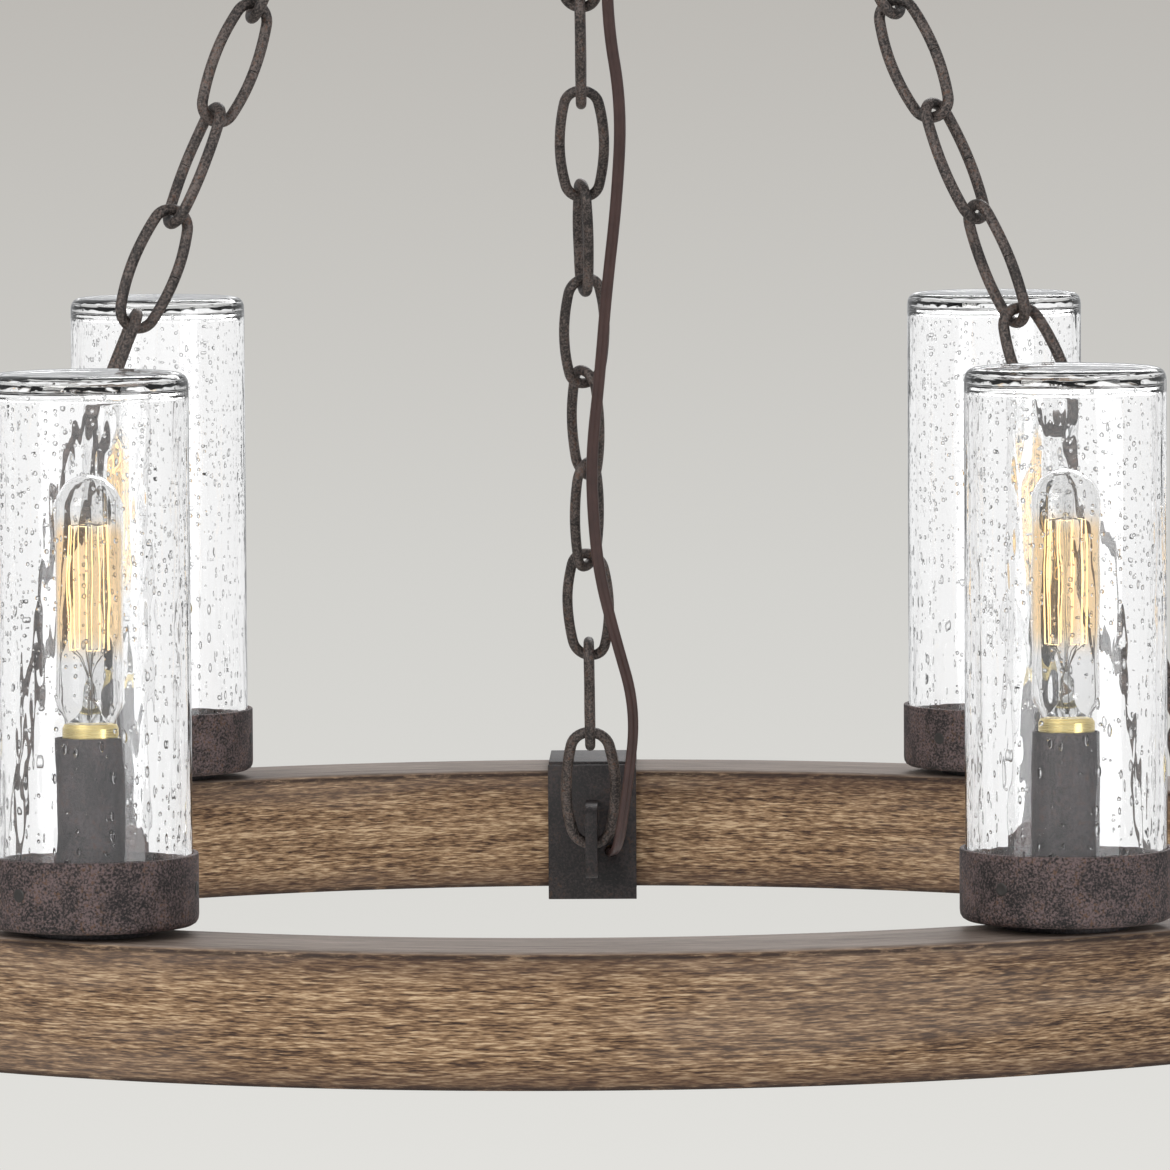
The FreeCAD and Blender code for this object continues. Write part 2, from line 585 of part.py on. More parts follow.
# ---- ceiling fitting ----
def make_crossbar():
    half_l, half_w = CROSSBAR_LENGTH / 2, CROSSBAR_WIDTH / 2
    bar = block(-half_l, half_l, -half_w, half_w, -CROSSBAR_THICKNESS, 0)
    deep = CROSSBAR_THICKNESS * 3
    cutters = [Part.makeCylinder(NIPPLE_RADIUS + FIT_GAP / 2, deep, vec(0, 0, -deep / 2))]
    for side in (-1, 1):
        mid = side * CROSSBAR_SLOT_SPACING / 2
        run = CROSSBAR_SLOT_LENGTH / 2 - CROSSBAR_SLOT_RADIUS
        r = CROSSBAR_SLOT_RADIUS
        slot = block(mid - run, mid + run, -r, r, -deep / 2, deep / 2)
        for x in (mid - run, mid + run):
            slot = slot.fuse(Part.makeCylinder(r, deep, vec(x, 0, -deep / 2)))
        cutters.append(slot)
    return bar.cut(cutters)


def make_canopy():
    r, flat, low, w = CANOPY_RADIUS, CANOPY_FLAT_RADIUS, -CANOPY_HEIGHT, CANOPY_WALL
    hole = NIPPLE_RADIUS + SEAT_GAP
    lip = 5.0
    return turned([(hole, low), (flat, low), ((r + flat) / 2 + 3, low / 2 - 4), (r, -lip), (r, 0),
                   (r - w, 0), (r - w, -lip), ((r + flat) / 2 + 3 - w, low / 2 - 4 + w / 2),
                   (flat - w / 2, low + w), (hole, low + w)])


def make_canopy_loop():
    """Collar that screws up under the canopy, bored for the cord, with its loop below."""
    bow = u_loop(LOOP_RADIUS, LOOP_LEG + 1, LOOP_WIRE_RADIUS)
    bow.translate(vec(0, 0, LOOP_WIRE_Z))
    high = -CANOPY_HEIGHT
    low = high - COLLAR_HEIGHT
    r, thread = COLLAR_RADIUS, NIPPLE_RADIUS + FIT_GAP / 2
    mid = low + COLLAR_HEIGHT * 0.4
    collar = turned([(COLLAR_BORE, low), (r - 2, low), (r, low + 2), (r, high - 1), (r - 1, high),
                     (thread, high), (thread, mid), (COLLAR_BORE, mid)])
    return collar.fuse(bow)


def make_canopy_nipple():
    low = -CANOPY_HEIGHT - COLLAR_HEIGHT * 0.5
    return turned([(NIPPLE_BORE, low), (NIPPLE_RADIUS, low), (NIPPLE_RADIUS, 0), (NIPPLE_BORE, 0)])


# ---- cord ----
def cord_route():
    """Points of the lamp cord, from the raceway out of the plate, up the rear chain to the collar."""
    x, z = CORD_HOLE_X, RIM_Z + CORD_HOLE_HEIGHT
    foot_y = LUG_HOLE_RADIAL
    foot_z = RIM_Z + LUG_HOLE_HEIGHT
    sin_l, cos_l = math.sin(CHAIN_LEAN), math.cos(CHAIN_LEAN)

    def beside(along, side, above):
        """Point beside the rear chain: along it, to +X, and off it on its inner, lower side."""
        return vec(side, foot_y - along * sin_l - above * cos_l, foot_z + along * cos_l - above * sin_l)

    points = [vec(x, RIM_MID_RADIUS - 8, z), vec(x, PLATE_FACE + 4, z), vec(x + 1, PLATE_FACE - 18, z)]
    # where the photograph shows it: out to the right, in front of the chain, and out to the right again
    points += [beside(8, 15, 13), beside(42, 20, 10), beside(88, 25, 6), beside(136, 14, 10),
               beside(174, 6.5, 14), beside(212, 3.5, 18), beside(250, 3, 18.5), beside(294, 8, 15),
               beside(342, 12, 12), beside(394, 18, 8), beside(448, 21, 6), beside(500, 14, 11)]
    along, sway = 552, 1
    while along < CHAIN_REACH - 60:
        points.append(beside(along, 14 + sway, 14 - sway))
        sway = -sway
        along += 52
    points += [vec(22, 42, HUB_HOLE_Z - 10), vec(25, 27, HUB_TOP_Z + 4),
               vec(13, 17, HUB_LOOP_WIRE_Z - 4), vec(9.5, 9, HUB_LOOP_WIRE_Z + 30),
               vec(8.5, 9.5, HUB_LOOP_WIRE_Z + 75), vec(8, 9, HUB_LOOP_WIRE_Z + 120),
               vec(9, 8.5, LOOP_WIRE_Z - 10), vec(7.5, 6.5, LOOP_WIRE_Z + 10),
               vec(0, 1, -CANOPY_HEIGHT - COLLAR_HEIGHT + 1.5)]
    turn = FreeCAD.Rotation(Z_AXIS, BRACKET_AZIMUTHS["rear"] - 90.0)
    points = [turn.multVec(point) for point in points]
    return points


def tube_along(points, radius):
    """Round tube along straight runs joined by arcs tangent to both runs."""
    edges = []
    start = points[0]
    length = 0.0
    for i in range(1, len(points) - 1):
        before, at, after = points[i - 1], points[i], points[i + 1]
        back, ahead = before - at, after - at
        turn = math.pi - back.getAngle(ahead)
        shorter = min(back.Length, ahead.Length)
        cut = 0.45 * shorter
        arc_radius = cut / math.tan(turn / 2)
        one, two = back.normalize(), ahead.normalize()
        enter, leave = at + one * cut, at + two * cut
        middle = (one + two).normalize()
        centre = at + middle * (arc_radius / math.cos(turn / 2))
        top = centre - middle * arc_radius
        edges.append(Part.LineSegment(start, enter).toShape())
        edges.append(Part.Arc(enter, top, leave).toShape())
        length += (enter - start).Length + arc_radius * turn
        print("cord bend", i, "radius", round(arc_radius, 1), "run", round(shorter, 1))
        start = leave
    edges.append(Part.LineSegment(start, points[-1]).toShape())
    length += (points[-1] - start).Length
    heading = points[1] - points[0]
    circle = Part.Wire(Part.makeCircle(radius, points[0], heading))
    tube = Part.Wire(edges).makePipeShell([circle], True, False)
    print("cord length", round(length, 1), "volume ratio", round(tube.Volume / (math.pi * radius ** 2 * length), 4))
    return tube


def build():
    """Every node's shape by name."""
    nodes = {"rim": make_rim(), "raceway_strip": make_raceway_strip(), "wiring_harness": make_harness()}
    azimuths = lamp_azimuths()

    def each_lamp(piece):
        return [placed(piece, azimuth, RIM_MID_RADIUS) for azimuth in azimuths]

    groups = {"lamp_feet": lamp_foot(), "candle_sleeves": lamp_sleeve(), "lamp_sockets": lamp_socket(),
              "lamp_nipples": lamp_nipple(), "nipple_nuts": Part.makeCompound(
                  [lamp_nut(RACEWAY_TOP_Z - NUT_HEIGHT), lamp_nut(CUP_FLOOR_Z)])}
    for name, piece in groups.items():
        nodes[name] = Part.makeCompound(each_lamp(piece))
    singles = {"lamp_cup": lamp_cup(), "glass_shade": lamp_shade(), "bulb_base": bulb_base(),
               "bulb_glass": bulb_glass(), "bulb_filament": bulb_filament()}
    for name, piece in singles.items():
        for k, copy in enumerate(each_lamp(piece)):
            nodes["%s_%d" % (name, k + 1)] = copy

    for side, azimuth in BRACKET_AZIMUTHS.items():
        nodes["bracket_strap_" + side] = round_bracket(bracket_strap(), azimuth)
        nodes["bracket_plate_" + side] = round_bracket(bracket_plate(side == "rear"), azimuth)
        nodes["chain_" + side] = leg_chain(side)
    bolts = [round_bracket(bracket_bolt(), azimuth) for azimuth in BRACKET_AZIMUTHS.values()]
    nodes["bracket_bolts"] = Part.makeCompound(bolts)

    nodes["hub"] = make_hub()
    nodes["hub_loop"] = make_hub_loop()
    nodes["top_chain"] = top_chain()
    nodes["crossbar"] = make_crossbar()
    nodes["canopy"] = make_canopy()
    nodes["canopy_loop"] = make_canopy_loop()
    nodes["canopy_nipple"] = make_canopy_nipple()
    nodes["canopy_nut"] = lamp_nut(-CROSSBAR_THICKNESS - NUT_HEIGHT)
    nodes["lamp_cord"] = tube_along(cord_route(), CORD_RADIUS)
    return nodes


def main():
    os.makedirs("parts", exist_ok=True)
    for name, shape in build().items():
        shape.exportStep("parts/%s.step" % name)


main()
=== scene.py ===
import math

import bmesh
import bpy
from mathutils import Matrix, Vector, noise


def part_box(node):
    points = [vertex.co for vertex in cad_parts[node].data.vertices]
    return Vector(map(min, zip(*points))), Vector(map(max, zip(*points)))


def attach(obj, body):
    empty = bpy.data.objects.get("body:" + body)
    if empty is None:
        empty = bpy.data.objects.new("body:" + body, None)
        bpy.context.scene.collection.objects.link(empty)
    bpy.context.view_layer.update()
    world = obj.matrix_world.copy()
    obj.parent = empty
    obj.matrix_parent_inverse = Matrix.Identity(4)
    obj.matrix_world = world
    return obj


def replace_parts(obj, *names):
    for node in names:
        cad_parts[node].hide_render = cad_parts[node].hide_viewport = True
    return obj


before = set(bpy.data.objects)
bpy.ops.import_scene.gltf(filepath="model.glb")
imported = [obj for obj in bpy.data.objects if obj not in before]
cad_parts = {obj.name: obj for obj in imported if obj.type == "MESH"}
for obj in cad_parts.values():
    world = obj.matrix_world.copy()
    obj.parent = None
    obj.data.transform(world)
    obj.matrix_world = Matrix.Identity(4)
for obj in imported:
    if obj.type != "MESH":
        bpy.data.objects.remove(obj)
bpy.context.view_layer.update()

# Metres, +Z up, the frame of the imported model. The ceiling is at z = 0 and the rim hangs below it.
MM = 0.001
CEILING_FITTING = "ceiling_fitting"
HANGING = "hanging_fixture"
LAMPS = range(1, 7)
SIDES = {"rear": 89.0, "left": 210.0, "right": 330.0}

rim_low, rim_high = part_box("rim")
RIM_TOP = rim_high.z
RIM_BOTTOM = rim_low.z
RIM_MIDDLE = (RIM_TOP + RIM_BOTTOM) / 2
RIM_OUTER = rim_high.x
RIM_WIDTH = 63.5 * MM
RIM_INNER = RIM_OUTER - RIM_WIDTH
RIM_CENTRE = RIM_OUTER - RIM_WIDTH / 2


# ---------------------------------------------------------------- camera
def make_camera():
    """The photograph's camera: a long lens, a little above the lamps, looking slightly down."""
    data = bpy.data.cameras.new("photo_camera")
    data.lens = 307.46
    data.sensor_width = 36.0
    camera = bpy.data.objects.new("photo_camera", data)
    bpy.context.scene.collection.objects.link(camera)
    place = Matrix.Translation((0.0, -4.9906, RIM_MIDDLE + 0.5308))
    yaw = Matrix.Rotation(-0.00076, 4, "Z")
    pitch = Matrix.Rotation(math.pi / 2 - 0.0735, 4, "X")
    roll = Matrix.Rotation(-0.0062, 4, "Z")
    camera.matrix_world = place @ yaw @ pitch @ roll
    bpy.context.scene.camera = camera
    bpy.context.scene.view_settings.view_transform = "Standard"


# ---------------------------------------------------------------- shader maths
class Amount:
    """A number that varies over a surface. Python's operators on it add Math nodes."""

    def __init__(self, finish, socket):
        self.finish = finish
        self.socket = socket

    def math(self, operation, *others):
        """This amount put through one Math node with the others."""
        values = dict(enumerate((self,) + others))
        node = self.finish.add("ShaderNodeMath", {"operation": operation}, values)
        return Amount(self.finish, node.outputs[0])

    def __add__(self, other):
        return self.math("ADD", other)

    def __sub__(self, other):
        return self.math("SUBTRACT", other)

    def __mul__(self, other):
        return self.math("MULTIPLY", other)

    def __truediv__(self, other):
        return self.math("DIVIDE", other)

    def __rsub__(self, other):
        return self.math("MULTIPLY", -1.0) + other

    __radd__ = __add__
    __rmul__ = __mul__

    def power(self, exponent):
        return self.math("POWER", exponent)

    def above(self, low, high):
        """0 below low, 1 above high, smooth between."""
        values = {"Value": self, "From Min": low, "From Max": high}
        settings = {"interpolation_type": "SMOOTHSTEP", "clamp": True}
        node = self.finish.add("ShaderNodeMapRange", settings, values)
        return Amount(self.finish, node.outputs["Result"])

    def below(self, low, high):
        """1 below low, 0 above high, smooth between."""
        return 1.0 - self.above(low, high)


def paint(red, green, blue):
    """A colour as a painter reads it off a chart, 0 to 255, as the shader wants it."""
    linear = []
    for part in (red, green, blue):
        share = part / 255
        linear.append(share / 12.92 if share <= 0.04045 else ((share + 0.055) / 1.055) ** 2.4)
    return (*linear, 1.0)


class Finish:
    """One material: a Principled shader whose sockets take numbers or varying amounts."""

    def __init__(self, name, **sockets):
        self.material = bpy.data.materials.new(name)
        self.material.use_nodes = True
        self.tree = self.material.node_tree
        self.shader = self.tree.nodes["Principled BSDF"]
        self.output = self.tree.nodes["Material Output"]
        self.set(**sockets)

    def set(self, **sockets):
        """Principled sockets by name, with underscores for spaces."""
        self.fill(self.shader, {name.replace("_", " "): value for name, value in sockets.items()})

    def fill(self, node, values):
        for name, value in values.items():
            if isinstance(value, Amount):
                value = value.socket
            if isinstance(value, bpy.types.NodeSocket):
                self.tree.links.new(value, node.inputs[name])
            else:
                node.inputs[name].default_value = value

    def add(self, kind, settings=None, values=None):
        """A node of that type, with its settings, then its sockets' values or links."""
        node = self.tree.nodes.new(kind)
        for name, value in (settings or {}).items():
            if name == "stops":
                ramp = node.color_ramp
                while len(ramp.elements) < len(value):
                    ramp.elements.new(0.5)
                for element, (position, colour) in zip(ramp.elements, value):
                    element.position = position
                    element.color = colour
            else:
                setattr(node, name, value)
        self.fill(node, values or {})
        return node

    def place(self):
        """Where on the object a point is, in metres."""
        return self.add("ShaderNodeTexCoord").outputs["Object"]

    def parts(self, vector):
        node = self.add("ShaderNodeSeparateXYZ", None, {0: vector})
        return [Amount(self, socket) for socket in node.outputs]

    def vector(self, x, y, z):
        return self.add("ShaderNodeCombineXYZ", None, {0: x, 1: y, 2: z}).outputs[0]

    def scaled(self, vector, x, y, z):
        """A vector stretched by three factors."""
        node = self.add("ShaderNodeVectorMath", {"operation": "MULTIPLY"}, {0: vector, 1: (x, y, z)})
        return node.outputs[0]

    def noise(self, vector, scale, detail=4.0, roughness=0.55, distortion=0.0):
        values = {"Vector": vector, "Scale": scale, "Detail": detail, "Roughness": roughness,
                  "Distortion": distortion}
        return Amount(self, self.add("ShaderNodeTexNoise", None, values).outputs["Fac"])

    def ramp(self, amount, *stops):
        """A colour that follows an amount through (position, colour) stops."""
        return self.add("ShaderNodeValToRGB", {"stops": stops}, {0: amount}).outputs["Color"]

    def mix(self, share, first, second, blend="MIX"):
        """The first colour, with that share of the second."""
        settings = {"data_type": "RGBA", "blend_type": blend}
        node = self.add("ShaderNodeMix", settings, {0: share, 6: first, 7: second})
        return node.outputs[2]

    def bump(self, height, distance, strength=1.0):
        """The normal of a surface raised by height, which is 0 to 1, times distance in metres."""
        values = {"Height": height, "Distance": distance, "Strength": strength}
        self.set(Normal=self.add("ShaderNodeBump", None, values).outputs[0])


# ---------------------------------------------------------------- finishes
def weathered_wood():
    """Brown stained wood, grain running round the rim, darker and rougher along its edges; the darkening is painted
    shade, and a paler, greyer top face is painted light.
    """
    f = Finish("weathered_wood", IOR=1.45, Specular_IOR_Level=0.35)
    x, y, z = f.parts(f.place())
    # the rim's joint is under the left bracket, so the grain starts and ends there
    turn = math.radians(SIDES["left"])
    along = (x * math.sin(turn) - y * math.cos(turn)).math(
        "ARCTAN2", x * -math.cos(turn) - y * math.sin(turn)) * RIM_CENTRE
    out = (x * x + y * y).math("SQRT")
    cloud = f.noise(f.vector(along * 3.5, out * 12.0, z * 24.0), 1.0, 3.0)
    streak = f.noise(f.vector(along * 8.0, out * 190.0, z * 210.0), 1.0, 5.0, 0.62, 0.4)
    fibre = f.noise(f.vector(along * 60.0, out * 700.0, z * 800.0), 1.0, 4.0, 0.65)
    dash = f.noise(f.vector(along * 150.0, out * 1300.0, z * 1500.0), 1.0, 2.0, 0.6)
    tone = dash * 0.4 + fibre * 0.3 + streak * 0.2 + cloud * 0.1
    body = f.ramp(tone, (0.405, paint(50, 34, 26)), (0.46, paint(94, 70, 51)), (0.5, paint(130, 102, 75)),
                  (0.54, paint(156, 127, 97)), (0.6, paint(200, 173, 140)))
    # painted light: the top face is made paler and greyer where light from above falls on it
    lit_top_grey = f.ramp(fibre * 0.4 + streak * 0.3 + cloud * 0.3, (0.4, paint(93, 80, 71)), (0.6, paint(151, 137, 127)))
    top = z.above(RIM_TOP - 1.6 * MM, RIM_TOP - 0.4 * MM)
    # painted shade: the face darker and more purple toward both arrises, in cloudy patches, so it is lightest at its
    # middle. A torn dark line runs along each arris.
    arris_shade = z.below(RIM_BOTTOM + 1 * MM, RIM_BOTTOM + 15 * MM) + z.above(RIM_TOP - 19 * MM, RIM_TOP - 3 * MM)
    body = f.mix(arris_shade * cloud.above(0.3, 0.56) * 0.6, body, paint(72, 53, 45))
    body = f.mix(cloud.below(0.4, 0.52) * 0.22, body, paint(150, 132, 118))
    rag = f.noise(f.vector(along * 70.0, out * 300.0, z * 300.0), 1.0, 4.0, 0.7)
    line = z.above(RIM_TOP - 4.6 * MM, RIM_TOP - 2.6 * MM) * z.below(RIM_TOP - 2.0 * MM, RIM_TOP - 1.0 * MM)
    line = line + z.below(RIM_BOTTOM + 1.0 * MM, RIM_BOTTOM + 3.4 * MM)
    body = f.mix(line * rag.above(0.36, 0.5) * 0.85, body, paint(44, 32, 28))
    # the top face's painted light is laid over all the rest
    body = f.mix(top, body, lit_top_grey)
    f.set(Base_Color=body, Roughness=0.68 + (fibre - 0.5) * 0.3)
    f.bump(dash * 0.6 + fibre * 0.3 + streak * 0.3, 0.4 * MM)
    return f.material


def cast_iron(name, base, light, rust, grain, relief, rough=0.62):
    """Dark iron with a grainy skin, paler worn patches and brown rust flecks."""
    f = Finish(name, Metallic=0.35, IOR=1.6)
    where = f.place()
    skin = f.noise(where, grain, 3.0, 0.62)
    cloud = f.noise(where, grain * 0.08, 3.0)
    fleck = f.noise(where, grain * 0.6, 4.0, 0.7)
    tone = skin * 0.72 + cloud * 0.28
    body = f.ramp(tone, (0.42, base), (0.5, [(a + b) * 0.42 for a, b in zip(base[:3], light)] + [1.0]), (0.58, light))
    body = f.mix(fleck.above(0.54, 0.62) * cloud.above(0.4, 0.6) * 0.75, body, rust)
    f.set(Base_Color=body, Roughness=rough + (skin - 0.5) * 0.5)
    f.bump(skin * 0.75 + fleck * 0.25, relief)
    return f.material


def seed_layer(f, along, up, cell, radius, stretch, share):
    """One size of seed in glass: (raised dome 0 to 1, dark ring 0 to 1), share of the cells filled."""
    point = f.vector(along * (1 / cell), up * (1 / (cell * stretch)), 0.0)
    settings = {"voronoi_dimensions": "2D", "feature": "F1"}
    cells = f.add("ShaderNodeTexVoronoi", settings, {"Vector": point, "Scale": 1.0, "Randomness": 0.85})
    chance, size, spare = f.parts(cells.outputs["Color"])
    here = chance.math("LESS_THAN", share)
    ratio = Amount(f, cells.outputs["Distance"]) / (size * 0.6 + 0.4) * (cell / radius)
    dome = (1.0 - ratio * ratio).math("MAXIMUM", 0.0).math("SQRT") * here
    ring = ratio.above(0.3, 0.7) * ratio.below(0.9, 1.1) * here
    return dome, ring


def seeded_glass(lamp, radius, low, high):
    """Clear thick glass with round seeds near its top and long ones lower down."""
    f = Finish("seeded_glass_%d" % lamp, Transmission_Weight=1.0, Roughness=0.0, IOR=1.5)
    axis = lamp_axis(lamp)
    where = f.place()
    x, y, z = f.parts(where)
    along = (y - axis.y).math("ARCTAN2", x - axis.x) * radius
    height = (z - low) / (high - low)
    upper = height.above(0.3, 0.7)
    span = ((x - axis.x) * (x - axis.x) + (y - axis.y) * (y - axis.y)).math("SQRT")
    wall = z.below(high - 8 * MM, high - 5 * MM) * span.above(radius - 2 * MM, radius - 1 * MM)
    small_dome, small_ring = seed_layer(f, along, z, 4.6 * MM, 1.2 * MM, 1.1, upper * 0.26 + 0.1)
    tiny_dome, tiny_ring = seed_layer(f, along, z, 2.9 * MM, 0.62 * MM, 1.3, upper * 0.13 + 0.05)
    long_dome, long_ring = seed_layer(f, along, z, 5.6 * MM, 1.25 * MM, 2.6, (1.0 - upper) * 0.34 + 0.03)
    ripple = f.noise(f.scaled(where, 60.0, 60.0, 14.0), 1.0, 2.0)
    # painted shade: the seeds' rims are darkened in the glass's colour, standing for the dark edge that refraction
    # gives each seed
    ring = (small_ring + tiny_ring * 0.8 + long_ring).math("MINIMUM", 1.0) * wall
    f.set(Base_Color=f.mix(ring * 0.8, paint(254, 254, 254), paint(60, 61, 63)))
    dome = (small_dome + tiny_dome * 0.5 + long_dome) * wall
    f.bump(ripple * 0.5 + dome * 0.4, 1.0 * MM)
    return clear_to_lamps(f)


def clear_to_lamps(f):
    """Lets the lamps' light straight through glass, which would otherwise shade what it encloses."""
    path = f.add("ShaderNodeLightPath")
    clear = f.add("ShaderNodeBsdfTransparent")
    both = f.add("ShaderNodeMixShader", None, {0: path.outputs["Is Shadow Ray"], 1: f.shader.outputs[0],
                                               2: clear.outputs[0]})
    f.tree.links.new(both.outputs[0], f.output.inputs["Surface"])
    return f.material


def bulb_glass(base_top):
    """Thin clear glass with the filament's glow painted into its colour, as a band beside the filament."""
    f = Finish("bulb_glass", Transmission_Weight=1.0, Roughness=0.0, IOR=1.3)
    z = f.parts(f.place())[2]
    # painted light: a cream band at the filament's height
    painted_glow = z.above(base_top + 26 * MM, base_top + 44 * MM) * z.below(base_top + 84 * MM, base_top + 97 * MM)
    f.set(Base_Color=f.mix(painted_glow, paint(246, 246, 246), paint(255, 238, 212)))
    return clear_to_lamps(f)


def plain_finishes():
    """Finishes of the small pieces, by name."""
    glow = Finish("filament_glow", Base_Color=paint(240, 216, 166), Emission_Strength=1.0, Roughness=0.5)
    swing = glow.noise(glow.place(), 300.0, 2.0)
    glow.set(Emission_Color=glow.mix(swing, paint(251, 221, 160), paint(255, 243, 208)))
    brass = Finish("brass", Metallic=1.0)
    spin = brass.noise(brass.scaled(brass.place(), 60.0, 60.0, 2600.0), 1.0, 3.0)
    brass.set(Base_Color=brass.mix(spin, paint(198, 178, 112), paint(226, 208, 152)), Roughness=spin * 0.2 + 0.16)
    moulded = Finish("socket_insulator", IOR=1.5)
    mottle = moulded.noise(moulded.place(), 220.0, 3.0)
    moulded.set(Base_Color=moulded.mix(mottle, paint(32, 29, 27), paint(46, 42, 40)), Roughness=mottle * 0.2 + 0.4)
    zinc = Finish("zinc_steel", Metallic=1.0)
    spangle = zinc.noise(zinc.place(), 260.0, 4.0)
    zinc.set(Base_Color=zinc.mix(spangle, paint(150, 148, 140), paint(196, 192, 182)), Roughness=spangle * 0.3 + 0.25)
    sheath = Finish("cord_sheath", IOR=1.48, Specular_IOR_Level=0.5)
    handled = sheath.noise(sheath.place(), 90.0, 4.0)
    sheath.set(Base_Color=sheath.mix(handled, paint(47, 32, 30), paint(80, 57, 53)), Roughness=handled * 0.25 + 0.3)
    lead = Finish("support_wire", Metallic=0.8)
    drawn = lead.noise(lead.place(), 500.0, 2.0)
    lead.set(Base_Color=lead.mix(drawn, paint(70, 66, 62), paint(120, 114, 106)), Roughness=drawn * 0.2 + 0.3)
    stem = Finish("stem_glass", Transmission_Weight=1.0, Roughness=0.03, IOR=1.45)
    swirl = stem.noise(stem.place(), 240.0, 2.0)
    stem.set(Base_Color=stem.mix(swirl, paint(226, 228, 228), paint(246, 248, 248)))
    named = {"glow": glow, "brass": brass, "moulded": moulded, "zinc": zinc, "sheath": sheath, "lead": lead}
    finishes = {name: finish.material for name, finish in named.items()}
    finishes["stem"] = clear_to_lamps(stem)
    return finishes


# ---------------------------------------------------------------- mesh making
def finished(bm, name, body, material, smooth_angle=35.0):
    """The bmesh as a piece of the object, shaded smooth up to an angle, that rides on a body."""
    bmesh.ops.remove_doubles(bm, verts=bm.verts, dist=1e-6)
    bmesh.ops.recalc_face_normals(bm, faces=bm.faces)
    mesh = bpy.data.meshes.new(name)
    bm.to_mesh(mesh)
    bm.free()
    mesh.materials.append(material)
    mesh.shade_smooth()
    mesh.set_sharp_from_angle(angle=math.radians(smooth_angle))
    piece = bpy.data.objects.new(name, mesh)
    bpy.context.scene.collection.objects.link(piece)
    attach(piece, body)
    return piece


def rounded(corners, radius, steps=4):
    """An outline of (r, z) points with its sharp corners turned to arcs of a radius."""
    points = []
    count = len(corners)
    for i, corner in enumerate(corners):
        at = Vector(corner[:2])
        r = corner[2] if len(corner) > 2 else radius
        back = Vector(corners[i - 1][:2]) - at
        ahead = Vector(corners[(i + 1) % count][:2]) - at
        if r <= 0:
            points.append(at)
            continue
        half = back.angle(ahead) / 2
        cut = r / math.tan(half)
        start, end = at + back.normalized() * cut, at + ahead.normalized() * cut
        for step in range(steps + 1):
            t = step / steps
            points.append(start.lerp(at, t).lerp(at.lerp(end, t), t))
    return points


def lathe(bm, outline, steps, closed):
    """Turns an outline of (r, z) points about Z; open outlines start and end on the axis or an edge."""
    verts = [bm.verts.new((r, 0.0, z)) for r, z in outline]
    edges = [bm.edges.new(pair) for pair in zip(verts, verts[1:])]
    if closed:
        edges.append(bm.edges.new((verts[-1], verts[0])))
    bmesh.ops.spin(bm, geom=verts + edges, cent=(0, 0, 0), axis=(0, 0, 1), dvec=(0, 0, 0),
                   angle=math.tau, steps=steps, use_merge=True, use_duplicate=False)
    bmesh.ops.remove_doubles(bm, verts=bm.verts, dist=1e-6)


def copied(source, places):
    """One bmesh holding a copy of another at each place, a matrix."""
    bm = bmesh.new()
    flat = bpy.data.meshes.new("pattern")
    source.to_mesh(flat)
    source.free()
    for place in places:
        before = len(bm.verts)
        bm.from_mesh(flat)
        bm.verts.ensure_lookup_table()
        bmesh.ops.transform(bm, matrix=place, verts=bm.verts[before:])
    bpy.data.meshes.remove(flat)
    return bm


def lamp_axis(lamp):
    low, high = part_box("bulb_base_%d" % lamp)
    return Vector(((low.x + high.x) / 2, (low.y + high.y) / 2, 0.0))


def at_lamps(lamps=LAMPS):
    return [Matrix.Translation(lamp_axis(lamp)) for lamp in lamps]


def softened(node, width, material, body=HANGING):
    """A CAD node again with its sharp arrises broken, as filed edges are."""
    bm = bmesh.new()
    bm.from_mesh(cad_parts[node].data)
    bmesh.ops.remove_doubles(bm, verts=bm.verts, dist=1e-6)
    bmesh.ops.dissolve_limit(bm, angle_limit=math.radians(1.0), verts=bm.verts, edges=bm.edges)
    sharp = [e for e in bm.edges if e.is_manifold and e.calc_face_angle() > math.radians(50)]
    bmesh.ops.bevel(bm, geom=sharp, offset=width, offset_type="OFFSET", segments=2, profile=0.5,
                    affect="EDGES", clamp_overlap=True, material=-1)
    piece = finished(bm, node + "_filed", body, material, 40.0)
    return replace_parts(piece, node)


# ---------------------------------------------------------------- cord
def spline_points(points, resolution):
    """Points along the smooth line of a NURBS spline with these control points."""
    data = bpy.data.curves.new("cord_line", "CURVE")
    data.dimensions = "3D"
    data.resolution_u = resolution
    spline = data.splines.new("NURBS")
    spline.points.add(len(points) - 1)
    for target, point in zip(spline.points, points):
        target.co = (*point, 1.0)
    spline.order_u = 3
    spline.use_endpoint_u = True
    line = bpy.data.objects.new("cord_line", data)
    bpy.context.scene.collection.objects.link(line)
    bpy.context.view_layer.update()
    mesh = bpy.data.meshes.new_from_object(line)
    places = [v.co.copy() for v in mesh.vertices]
    bpy.data.objects.remove(line)
    bpy.data.meshes.remove(mesh)
    return places


CORD_WIDTH = 6.2 * MM
CORD_THICKNESS = 3.4 * MM
